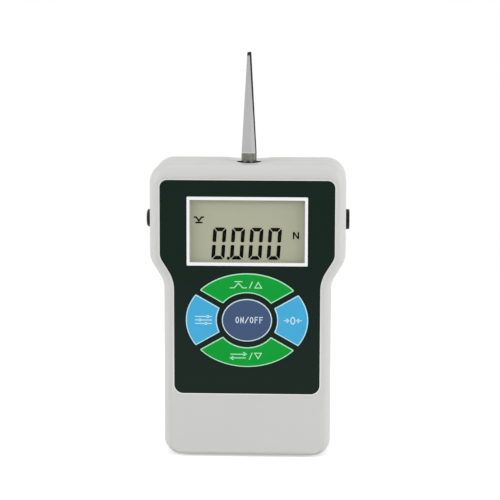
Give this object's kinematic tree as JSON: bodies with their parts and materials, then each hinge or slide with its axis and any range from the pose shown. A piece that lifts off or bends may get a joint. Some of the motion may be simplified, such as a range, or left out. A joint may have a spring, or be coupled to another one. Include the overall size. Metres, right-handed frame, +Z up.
{
  "type": "force gauge",
  "caption": "Hand-held digital force gauge with a waisted housing, a display, a ring of keys and a tapered wedge probe on a sprung stem.",
  "frame": {"origin": "centre of the flat base, under the stem's axis", "axes": "+X to the gauge's right as seen from the front, -Y out of the front panel, +Z up along the stem to the probe"},
  "size_m": [0.0869, 0.0363, 0.1716],
  "materials": {
    "housing": "satin moulded",
    "panel": "printed film",
    "white_rim": "smooth",
    "window": "clear",
    "lcd": "liquid crystal",
    "diffuser": "diffusing",
    "contact_rubber": "matte",
    "key_slate": "printed",
    "key_green": "printed",
    "key_blue": "printed",
    "circuit": "solder mask",
    "spring_steel": "satin",
    "screw_steel": "plated",
    "chip": "moulded",
    "cast_plate": "cast and machined",
    "cell_alloy": "machined",
    "gauge_foil": "foil",
    "stem_steel": "turned",
    "collar_steel": "oiled",
    "blade_steel": "brushed along its length",
    "socket_grey": "moulded",
    "pin_brass": "plated",
    "socket_black": "moulded",
    "battery_wrap": "shrink wrap",
    "inner_plastic": "moulded"
  },
  "bodies": {
    "housing": {"front_shell": "housing", "rear_shell": "housing", "panel_overlay": "panel", "display_frame": "white_rim", "display_window": "window", "lcd_glass": "lcd", "lcd_backlight": "diffuser", "lcd_contact_strips": "contact_rubber", "key_circuit": "circuit", "snap_domes": "spring_steel", "key_circuit_screws": "screw_steel", "main_board": "circuit", "board_chips": "chip", "board_header": "chip", "board_screws": "screw_steel", "back_plate": "cast_plate", "plate_screws": "screw_steel", "case_screws": "screw_steel", "load_cell": "cell_alloy", "strain_gauges": "gauge_foil", "cell_bolt": "screw_steel", "charging_socket": "socket_grey", "charging_pin": "pin_brass", "data_socket": "socket_black", "data_socket_nut": "socket_black", "battery_cells": "battery_wrap", "battery_tray": "inner_plastic", "tray_screws": "screw_steel"},
    "power_key": {"power_key": "key_slate"},
    "peak_key": {"peak_key": "key_green"},
    "unit_key": {"unit_key": "key_green"},
    "set_key": {"set_key": "key_blue"},
    "zero_key": {"zero_key": "key_blue"},
    "stem": {"stem": "stem_steel"},
    "probe": {"probe_collar": "collar_steel", "probe_blade": "blade_steel"}
  },
  "joints": [
    {"name": "power_key_press", "type": "slide", "parent": "housing", "child": "power_key", "axis": [0, 1, 0], "range_m": [0, 0.0004], "stiffness_N_per_m": 2000, "springref_m": -0.0001},
    {"name": "peak_key_press", "type": "slide", "parent": "housing", "child": "peak_key", "axis": [0, 1, 0], "range_m": [0, 0.0004], "stiffness_N_per_m": 2000, "springref_m": -0.0001},
    {"name": "unit_key_press", "type": "slide", "parent": "housing", "child": "unit_key", "axis": [0, 1, 0], "range_m": [0, 0.0004], "stiffness_N_per_m": 2000, "springref_m": -0.0001},
    {"name": "set_key_press", "type": "slide", "parent": "housing", "child": "set_key", "axis": [0, 1, 0], "range_m": [0, 0.0004], "stiffness_N_per_m": 2000, "springref_m": -0.0001},
    {"name": "zero_key_press", "type": "slide", "parent": "housing", "child": "zero_key", "axis": [0, 1, 0], "range_m": [0, 0.0004], "stiffness_N_per_m": 2000, "springref_m": -0.0001},
    {"name": "stem_deflection", "type": "slide", "parent": "housing", "child": "stem", "axis": [0, 0, 1], "range_m": [-0.0003, 0.0003], "stiffness_N_per_m": 160000, "deforming": ["load_cell"]},
    {"name": "probe_turn", "type": "hinge", "parent": "stem", "child": "probe", "pos_m": [0, 0, 0.121], "axis": [0, 0, 1], "continuous": true}
  ]
}
